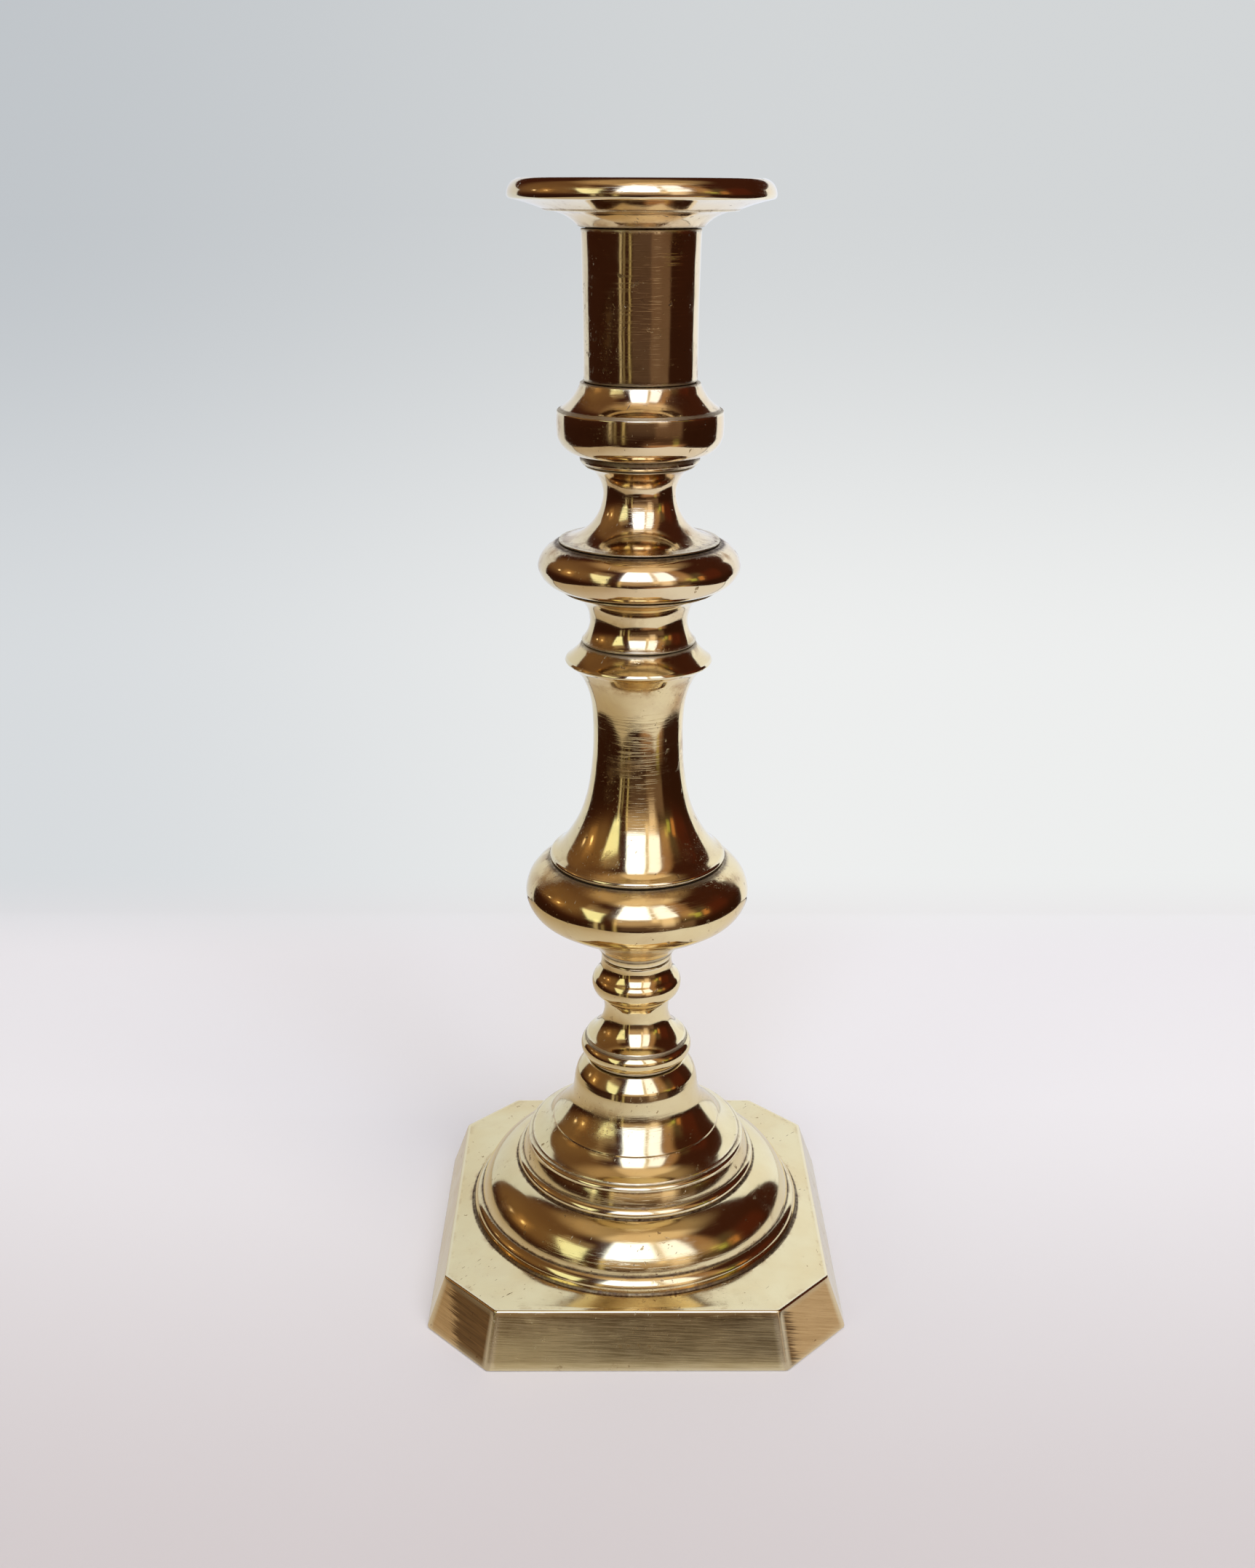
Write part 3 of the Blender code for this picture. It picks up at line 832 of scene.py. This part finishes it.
# Pale brass of worn edges, paler than clean brass as a painted highlight.
BRASS_WORN_HIGHLIGHT = (0.95, 0.82, 0.55)
BRASS_CAST = (0.26, 0.17, 0.085)
FILM = (0.62, 0.40, 0.235)
SPOT = (0.34, 0.215, 0.085)
STAIN = (0.50, 0.24, 0.05)
TARNISH = (0.40, 0.215, 0.10)
# Dark brown of dirt, also used as painted shade in the hollows.
GRIME_AND_SHADE = (0.058, 0.022, 0.012)
RESIDUE = (0.50, 0.37, 0.30)
# Painted reflections on the plinth's long sides and cut corners.
SIDE_BRIGHT = (0.62, 0.49, 0.235)
SIDE_DARK = (0.20, 0.135, 0.052)
SIDE_LOW = (0.50, 0.38, 0.17)
CUT_DARK = (0.11, 0.048, 0.012)
CUT_BROWN = (0.22, 0.108, 0.032)
CUT_GOLD = (0.52, 0.315, 0.125)
CUT_BRIGHT = (0.66, 0.42, 0.18)
IRON_DARK = (0.20, 0.185, 0.17)
IRON_LIGHT = (0.30, 0.28, 0.26)
RUST = (0.16, 0.065, 0.028)
BRUSHING = ((55.0, 2400.0), (110.0, 5600.0), (220.0, 9000.0))  # along and across the strokes


def streaks(g, x, y, height):
    """Brushing marks: the mean of broad, middle and fine noise, drawn out level."""
    total = 0.0
    for along, across in BRUSHING:
        at = g.join(g.times(x, along), g.times(y, along), g.times(height, across))
        total = g.plus(total, g.noise(at, 1.0, 2.0, 0.5))
    return g.times(total, 1.0 / len(BRUSHING))


def side_painted_reflection(g, spot, x, z):
    """Painted reflection on the plinth's long sides: bright on the left and along the lower edge.
    """
    cloud = g.times(g.minus(g.noise(spot, 60.0, 3.0), 0.5), 0.02)
    colour = g.mix(g.step(g.plus(x, cloud), -0.040, 0.004), SIDE_BRIGHT, SIDE_DARK)
    return g.mix(g.step(z, 0.0045, 0.0015, 0.0, 0.6), colour, SIDE_LOW)


def cut_painted_reflection(g, x, y, z, streak):
    """Painted reflection on the cut corners: dark brown next to the front side, warm gold further
    round.
    """
    towards_side = g.minus(g.math("ABSOLUTE", x), g.math("ABSOLUTE", y))
    left_edge = g.times(g.plus(g.times(z, 0.9), -0.002), g.step(x, 0.01, -0.01))
    edge = g.plus(left_edge, g.step(x, -0.01, 0.01, 0.0, -0.0115))
    ragged = g.times(g.minus(streak, 0.5), 0.030)
    past = g.plus(g.minus(towards_side, edge), ragged)
    fleck = g.step(streak, 0.40, 0.60)
    return g.mix(g.step(past, -0.0015, 0.0030), g.mix(fleck, CUT_DARK, CUT_BROWN),
                 g.mix(fleck, CUT_GOLD, CUT_BRIGHT))


def brush_foot(g, spot, colour, rough, normal, wear_and_highlight):
    """Brushing marks and painted reflections on the plinth's sides, and dull cast brass inside
    the foot.
    """
    x, y, z = g.split(spot)
    sides = g.track("brushed")
    inside = g.track("inside")
    width = g.math("ABSOLUTE", x)
    reach = g.plus(g.plus(width, g.math("ABSOLUTE", y)), g.times(z, 0.5))
    cut = g.step(reach, 0.0911, 0.0918)
    not_cut = g.minus(1.0, cut)
    # Painted highlight: strips of the front next to the upright edges keep the clean metal.
    flank = g.times(g.step(width, 0.044, 0.047), not_cut)

    tilt = g.times(g.plus(x, y), 0.35)
    height = g.plus(g.plus(z, g.times(cut, tilt)), g.times(x, 0.03))
    streak = streaks(g, x, y, height)
    # How much painted reflection covers the clean metal, set by the brushing streaks.
    shade = g.plus(g.times(g.step(streak, 0.36, 0.62, 0.95, 0.55), not_cut), g.times(cut, 0.96))
    shade = g.times(g.times(shade, sides), g.minus(1.0, g.times(flank, 0.85)))
    # Worn upright edges keep the clean metal: wear with a painted highlight along them.
    shade = g.times(shade, g.minus(1.0, g.times(wear_and_highlight, 0.65)))
    painted_reflection = g.mix(cut, side_painted_reflection(g, spot, x, z), cut_painted_reflection(g, x, y, z, streak))
    colour = g.mix(shade, colour, painted_reflection)

    grain = g.noise(spot, 1300.0, 3.0, 0.6)
    dull = g.times(inside, g.step(grain, 0.3, 0.7, 0.45, 0.8))
    colour = g.mix(dull, colour, BRASS_CAST)
    rough = g.plus(rough, g.times(sides, g.step(streak, 0.35, 0.65, 0.03, 0.09)))
    rough = g.plus(rough, g.times(inside, 0.38), clamp=True)
    normal = g.bump(g.times(streak, sides), 0.000010, 0.8, normal)
    normal = g.bump(g.times(grain, inside), 0.00020, 0.8, normal)
    return colour, rough, normal


def clean_brass(g, spot, broad, middle):
    """Metal under its marks: yellow in the foot, golden in the stem, rosier above the vase."""
    z = g.split(spot)[2]
    stem = g.step(z, 0.045, 0.085)
    upper = g.step(z, 0.170, 0.195)
    light = g.mix(upper, g.mix(stem, BRASS, BRASS_GOLD), BRASS_ROSE)
    warm = g.mix(upper, g.mix(stem, BRASS_WARM, BRASS_GOLD_WARM), BRASS_ROSE_WARM)
    colour = g.mix(g.step(broad, 0.35, 0.7), light, warm)
    film = g.step(g.noise(spot, 95.0, 5.0, 0.65, 0.6), 0.45, 0.72)
    colour = g.mix(g.times(film, g.plus(0.10, g.times(stem, 0.16))), colour, FILM)
    return g.mix(g.times(g.step(middle, 0.45, 0.75), 0.25), colour, BRASS_WARM)


def tarnish_share(g, middle, stain, grime_and_shade, tarnish):
    """Tarnish in random patches, in the placed stains and beside the grooves."""
    patch = g.times(g.step(g.plus(middle, g.times(stain, 0.42)), 0.66, 0.86), tarnish)
    placed = g.times(g.step(middle, 0.40, 0.58), g.times(stain, 0.75))
    beside = g.times(g.step(grime_and_shade, 0.02, 0.35), g.step(middle, 0.50, 0.60))
    return g.larger(g.larger(patch, placed), g.times(beside, 0.42), clamp=True)


def around(g, spot, along, spread, pitch):
    """Coordinates in which noise is drawn out around the axis, as tool marks are."""
    x, y, _ = g.split(spot)
    return g.join(g.times(x, spread), g.times(y, spread), g.times(along, pitch))


def nick_marks(g, spot):
    """Short slanting cuts, in some places only."""
    x, y, z = g.split(spot)
    at = g.join(g.times(g.plus(x, y), 260.0), g.times(g.minus(x, y), 1500.0),
                g.times(z, 700.0))
    cuts = g.step(g.noise(at, 1.0, 2.0, 0.5), 0.70, 0.74)
    return g.times(cuts, g.step(g.noise(spot, 80.0, 2.0), 0.48, 0.6))


def make_brass(name, roughness=0.055, tarnish=0.5, brushed=False):
    """Old polished brass: tarnish, dirt and painted shade in the grooves, worn edges with a
    painted highlight, fine scratches.
    """
    material, g, shader, spot = new_material(name)
    along, grime_and_shade, wear_and_highlight, stain, scuff = [g.track(key) for key in
                                        ("along", "grime_and_shade", "wear_and_highlight", "stain", "scuff")]
    broad = g.noise(spot, 55.0, 3.0)
    middle = g.noise(spot, 190.0, 4.0, 0.6)
    fine = g.noise(spot, 900.0, 3.0, 0.6)
    speck = g.noise(spot, 1900.0, 2.0, 0.5)

    rings = g.noise(around(g, spot, along, 22.0, 2600.0), 1.0, 3.0, 0.65)
    dashes = g.noise(around(g, spot, along, 150.0, 3400.0), 1.0, 2.0, 0.5, 0.3)
    stray = g.times(g.step(dashes, 0.60, 0.70), g.step(middle, 0.42, 0.62))
    scratch = g.larger(g.times(stray, 0.35), g.times(g.step(dashes, 0.52, 0.66), scuff))
    patch = tarnish_share(g, middle, stain, grime_and_shade, tarnish)
    spots = g.times(g.step(g.noise(spot, 430.0, 3.0, 0.6), 0.655, 0.685),
                    g.step(g.noise(spot, 62.0, 2.0), 0.50, 0.60))
    nicks = nick_marks(g, spot)
    pits = g.times(g.step(speck, 0.70, 0.78), g.step(middle, 0.5, 0.7))
    pits = g.larger(pits, g.times(g.step(speck, 0.63, 0.72), stain))
    # Dark brown in the hollows: dirt, plus painted shade where grooves and spigots lie in shadow.
    dirt_and_shade = g.times(g.step(grime_and_shade, 0.30, 0.85), g.plus(0.25, g.times(fine, 1.1)), clamp=True)
    crumbs = g.times(g.times(g.step(grime_and_shade, 0.15, 0.5), g.step(grime_and_shade, 0.95, 0.6)),
                     g.step(fine, 0.58, 0.66))

    colour = clean_brass(g, spot, broad, middle)
    # The last mark, on convex edges, is wear with a painted highlight.
    for share, tone in ((patch, g.mix(stain, TARNISH, STAIN)), (g.times(spots, 0.75), SPOT),
                        (g.times(nicks, 0.65), GRIME_AND_SHADE), (g.times(pits, 0.8), GRIME_AND_SHADE),
                        (dirt_and_shade, GRIME_AND_SHADE), (g.times(crumbs, 0.4), RESIDUE),
                        (g.times(g.step(wear_and_highlight, 0.15, 0.6), 0.6), BRASS_WORN_HIGHLIGHT)):
        colour = g.mix(share, colour, tone)

    rough = roughness
    for share, amount in ((broad, 0.04), (g.step(middle, 0.45, 0.75), 0.05), (rings, 0.04),
                          (scratch, 0.20), (patch, g.plus(0.12, g.times(stain, 0.18))),
                          (g.larger(spots, nicks), 0.22)):
        rough = g.plus(rough, g.times(share, amount))
    rough = g.plus(rough, g.times(dirt_and_shade, 0.45), clamp=True)

    waves = g.bump(g.noise(spot, 75.0, 2.0), 0.00012, 0.5)
    lathe = g.bump(rings, 0.000005, 0.8, waves)
    cuts = g.bump(scratch, 0.000012, 0.9, lathe)
    dents = g.larger(g.larger(pits, nicks), g.times(spots, 0.3))
    normal = g.bump(g.plus(dents, g.times(crumbs, -0.6)), -0.00005, 0.7, cuts)

    if brushed:
        colour, rough, normal = brush_foot(g, spot, colour, rough, normal, wear_and_highlight)
    g.fill(shader, {"Metallic": 1.0, "IOR": 1.5, "Base Color": colour, "Roughness": rough,
                    "Normal": normal})
    return material


def make_iron(name):
    """Dull iron with a brown film of rust."""
    material, g, shader, spot = new_material(name)
    broad = g.noise(spot, 160.0, 4.0, 0.6)
    fine = g.noise(spot, 1400.0, 3.0, 0.6)
    rust = g.times(g.step(broad, 0.45, 0.68), g.plus(0.4, fine), clamp=True)
    colour = g.mix(rust, g.mix(fine, IRON_DARK, IRON_LIGHT), RUST)
    rough = g.plus(g.plus(0.38, g.times(fine, 0.15)), g.times(rust, 0.3))
    g.fill(shader, {"Base Color": colour, "Metallic": g.minus(1.0, g.times(rust, 0.8)),
                    "Roughness": rough, "Normal": g.bump(g.plus(fine, rust), 0.00006, 0.6)})
    return material


# ---------------------------------------------------------------- camera

CAMERA_PLACE = (-0.005587, -0.378413, 0.278998)
CAMERA_RIGHT = (0.99997139, -0.00645314, 0.00394593)
CAMERA_UP = (-0.00142657, 0.35141508, 0.93621867)
CAMERA_FORWARD = (0.00742821, 0.93619752, -0.35139583)
LENS = 36.795                # on a 36 mm sensor


def add_camera():
    data = bpy.data.cameras.new("camera")
    data.sensor_fit = "AUTO"
    data.sensor_width = 36.0
    data.lens = LENS
    data.clip_start = 0.01
    data.clip_end = 50.0
    camera = bpy.data.objects.new("camera", data)
    turn = Matrix((CAMERA_RIGHT, CAMERA_UP, -Vector(CAMERA_FORWARD))).transposed()
    camera.matrix_world = Matrix.Translation(CAMERA_PLACE) @ turn.to_4x4()
    bpy.context.scene.collection.objects.link(camera)
    bpy.context.scene.camera = camera


# ---------------------------------------------------------------- floor, room and lights
# The camera sees a plain floor that fades into a plain backdrop.  The brass mirrors the two
# glowing cards and the room, which the camera does not see.

WHITE = (1.0, 1.0, 1.0)
BACKDROP = (0.65, 0.67, 0.68)
BACKDROP_LOW = (0.85, 0.86, 0.855)
DIM_SIDE = (0.80, 0.82, 0.85)     # how far the backdrop falls off on the left
FLOOR_NEAR = (0.66, 0.625, 0.615)
FLOOR_FAR = (0.89, 0.89, 0.89)
TABLE_LEFT = (0.45, 0.385, 0.305)
TABLE_RIGHT = (0.75, 0.755, 0.82)
WALL_LEFT = (0.66, 0.71, 0.80)
WALL_RIGHT = (0.91, 0.985, 1.15)
ROOM_LOW = (0.026, 0.009, 0.005)
ROOM_HIGH = (0.044, 0.013, 0.007)
CEILING = (0.36, 0.255, 0.15)
HORIZON_Y = -0.38                 # the backdrop's tones spread out from here
EYE_HEIGHT = 0.28
CARD_HALF = 0.31
TABLE_FRONT = -0.345
WALL_Y = 0.204
WALL_HALF = 0.30
WALL_TOP = 0.36


def dimmed(g, side, tone):
    """A backdrop tone with painted shade, darker towards the left."""
    return g.mix(1.0, tone, g.mix(g.step(side, -0.45, 0.15), DIM_SIDE, WHITE),
                 blend="MULTIPLY")


def add_card(name, corners, material, height=0.0):
    mesh = bpy.data.meshes.new(name)
    mesh.from_pydata(corners, [], [(0, 1, 2, 3)])
    mesh.materials.append(material)
    card = bpy.data.objects.new(name, mesh)
    card.location.z = height
    bpy.context.scene.collection.objects.link(card)
    return card


def floor_material():
    """Pale floor that fades into the plain backdrop, all round the object."""
    material, g, shader, spot = new_material("pale_floor")
    x, y, _ = g.split(spot)
    cloud = g.times(g.noise(spot, 9.0, 3.0), 0.06)
    # Painted shade: the floor is darker towards the front.
    colour = g.mix(g.plus(g.step(y, -0.16, 0.10), cloud), FLOOR_NEAR, FLOOR_FAR)
    g.fill(shader, {"Base Color": colour, "Roughness": 0.55, "Specular IOR Level": 0.25})
    # Beyond the table the floor glows instead of being lit: a painted backdrop, lighter near the
    # horizon and darker towards the left.
    beyond = g.minus(y, HORIZON_Y)
    depth = g.math("DIVIDE", EYE_HEIGHT, beyond)
    tone = g.mix(g.step(depth, 0.0, 0.30), BACKDROP, BACKDROP_LOW)
    tone = dimmed(g, g.math("DIVIDE", x, beyond), tone)
    tone = g.mix(g.step(y, 0.0, 0.15), BACKDROP, tone)
    far = g.glow(tone)
    away = g.node("ShaderNodeVectorMath", {0: spot}, operation="LENGTH").outputs["Value"]
    share = g.larger(g.step(y, 0.17, 0.26), g.step(away, 0.35, 1.0))
    surfaces = {0: share, 1: shader.outputs[0], 2: far}
    g.show(g.node("ShaderNodeMixShader", surfaces).outputs[0])
    return material


def card_material(name, start, end, left, right):
    """Glow whose colour changes from left to right between two places."""
    material, g, shader, spot = new_material(name)
    x = g.split(spot)[0]
    g.tree.nodes.remove(shader)
    g.show(g.glow(g.mix(g.step(x, start, end), left, right)))
    return material


# Lights and surfaces of the room, as seen from the object: bearing from the front (-Y,
# positive towards +X) and elevation in degrees, how much the left edge moves left for each
# degree up, softness of the edges, and colour.
ROOM = (
    (-135, -58, 0, 12, 8, 75, 10, (0.098, 0.062, 0.028)),
    (-120, -62, 0, 14, 12, 40, 12, (0.040, 0.026, 0.009)),
    (44, 62, 0, 6, 14, 64, 8, (0.30, 0.18, 0.09)),
    (46, 78, 0, 5, 4, 34, 7, (0.050, 0.050, 0.026)),
    (74, 104, 0, 4, 2, 30, 8, (0.030, 0.004, 0.001)),
    (-40, 80, 0, 10, 62, 86, 6, (0.44, 0.37, 0.29)),
    (-23, 15, 0, 1.2, 22, 63, 3, (1.75, 2.1, 3.0)),
    (21.5, 43, 0, 1.2, 22, 60, 4, (1.32, 1.45, 1.85)),
    (15, 22, 0, 2, 14, 64, 4, (0.62, 0.54, 0.42)),
    (-24, 42, 0, 3, 6, 22, 6, (0.45, 0.355, 0.245)),
    (-18, 21, 0, 3, -10, 6, 4, (0.060, 0.044, 0.032)),
    (20, 58, 0, 3, -12, 4, 4, (0.115, 0.078, 0.052)),
    (-24.5, -21.5, 0, 0.8, -16, 22, 4, (0.46, 0.40, 0.20)),
    (-36, -33, 0, 1.0, -16, 4, 4, (0.22, 0.19, 0.10)),
    (24, 37, 0, 2, 0, 23, 4, (0.44, 0.38, 0.32)),
    (-50, -37.5, 0.55, 1.2, 8, 37, 3, (0.98, 1.08, 0.78)),
    (-60, -56, 0.25, 0.8, 14, 37, 2, (-0.35, -0.38, -0.30)),
    (-43.5, -39.5, 0, 0.8, -14, 12, 4, (0.46, 0.42, 0.28)),
    (-64, -36, 0, 3, 36, 48, 4, (0.20, 0.16, 0.10)),
    (-107.2, -104.8, 0, 1.0, 15, 18, 1.0, (2.2, 1.8, 1.2)),
    (-93, -90, 0, 1.0, 18, 22, 1.0, (2.2, 1.7, 0.9)),
    (-100, -84, 0, 4, 10, 28, 4, (0.16, 0.09, 0.03)),
    (54, 61, 0, 2, 14, 22, 3, (0.20, 0.22, 0.04)),
    (60, 67, 0, 1.5, 8, 17, 2, (0.28, 0.33, 0.05)),
    (70, 77, 0, 1.5, 6, 19, 2, (0.40, 0.16, 0.04)),
    (46, 54, 0, 1.5, -30, -14, 3, (0.17, 0.19, 0.05)),
    (8, 62, 0, 10, -34, -18, 5, (0.34, 0.20, 0.12)),
)


def build_room():
    world = bpy.data.worlds.new("room")
    world.use_nodes = True
    bpy.context.scene.world = world
    g = Graph(world.node_tree)
    x, y, z = g.split(g.node("ShaderNodeTexCoord").outputs["Generated"])
    degrees = 180.0 / math.pi
    bearing = g.times(g.math("ARCTAN2", x, g.times(y, -1.0)), degrees)
    height = g.times(g.math("ARCSINE", z), degrees)
    colour = g.mix(g.step(height, -10.0, 10.0), ROOM_LOW, ROOM_HIGH)
    colour = g.mix(g.step(height, 54.0, 72.0), colour, CEILING)
    for b0, b1, lean, bs, e0, e1, es, tone in ROOM:
        slid = g.plus(bearing, g.times(g.minus(height, e0), lean)) if lean else bearing
        across = g.times(g.step(slid, b0 - bs, b0 + bs), g.step(bearing, b1 + bs, b1 - bs))
        upward = g.times(g.step(height, e0 - es, e0 + es), g.step(height, e1 + es, e1 - es))
        colour = g.mix(g.times(across, upward), colour, tone, blend="ADD")
    seen = g.node("ShaderNodeLightPath").outputs["Is Camera Ray"]
    colour = g.mix(seen, colour, dimmed(g, x, BACKDROP))
    g.fill(world.node_tree.nodes["Background"], {"Color": colour})


def add_area(name, bearing, elevation, distance, width, power, colour):
    data = bpy.data.lights.new(name, "AREA")
    data.shape = "DISK"
    data.size = width
    data.energy = power
    data.color = colour
    lamp = bpy.data.objects.new(name, data)
    b, e = math.radians(bearing), math.radians(elevation)
    lamp.location = (distance * math.sin(b) * math.cos(e), -distance * math.cos(b) * math.cos(e),
                     distance * math.sin(e))
    lamp.rotation_euler = (-lamp.location).to_track_quat("-Z", "Y").to_euler()
    lamp.visible_glossy = False
    lamp.visible_camera = False
    bpy.context.scene.collection.objects.link(lamp)


def level_corners(x0, x1, y0, y1):
    return [(x0, y0, 0.0), (x1, y0, 0.0), (x1, y1, 0.0), (x0, y1, 0.0)]


def build_stage():
    ground = add_card("floor", level_corners(-8.0, 8.0, -8.0, 14.0), floor_material())
    ground.visible_glossy = False
    table = add_card("table_card", level_corners(-CARD_HALF, CARD_HALF, TABLE_FRONT, WALL_Y),
                     card_material("table_glow", -0.24, 0.12, TABLE_LEFT, TABLE_RIGHT),
                     height=-0.0004)
    wall_y = WALL_Y + 0.01
    wall = add_card("wall_card", [(-WALL_HALF, wall_y, 0.0), (WALL_HALF, wall_y, 0.0),
                                  (WALL_HALF, wall_y, WALL_TOP), (-WALL_HALF, wall_y, WALL_TOP)],
                    card_material("wall_glow", -0.25, 0.22, WALL_LEFT, WALL_RIGHT))
    for flag in ("visible_camera", "visible_diffuse", "visible_shadow", "visible_transmission",
                 "visible_volume_scatter"):
        setattr(wall, flag, False)
        setattr(table, flag, False)
    add_area("key", 45.0, 58.0, 1.5, 0.7, 3.6, (1.0, 0.98, 0.95))
    add_area("overhead", 0.0, 88.0, 1.6, 2.2, 17.0, (0.98, 0.985, 1.0))
    build_room()
    scene = bpy.context.scene
    scene.view_settings.view_transform = "Standard"
    scene.view_settings.look = "None"


# ---------------------------------------------------------------- assembly

def build_candlestick():
    polished = make_brass("old_polished_brass")
    foot = make_brass("brushed_foot_brass", roughness=0.07, brushed=True)
    plain = make_brass("plain_brass", roughness=0.26, tarnish=0.8)
    iron = make_iron("dull_iron")
    build_foot(foot)
    for build in (build_pedestal, build_bulb, build_vase, build_spool, build_upper_knop,
                  build_trumpet, build_cup, build_tube, build_pan):
        build(polished)
    build_washer(iron)
    build_nut(plain)
    build_disc(plain)
    build_rod(iron)
    build_button(plain)


build_candlestick()
add_camera()
build_stage()
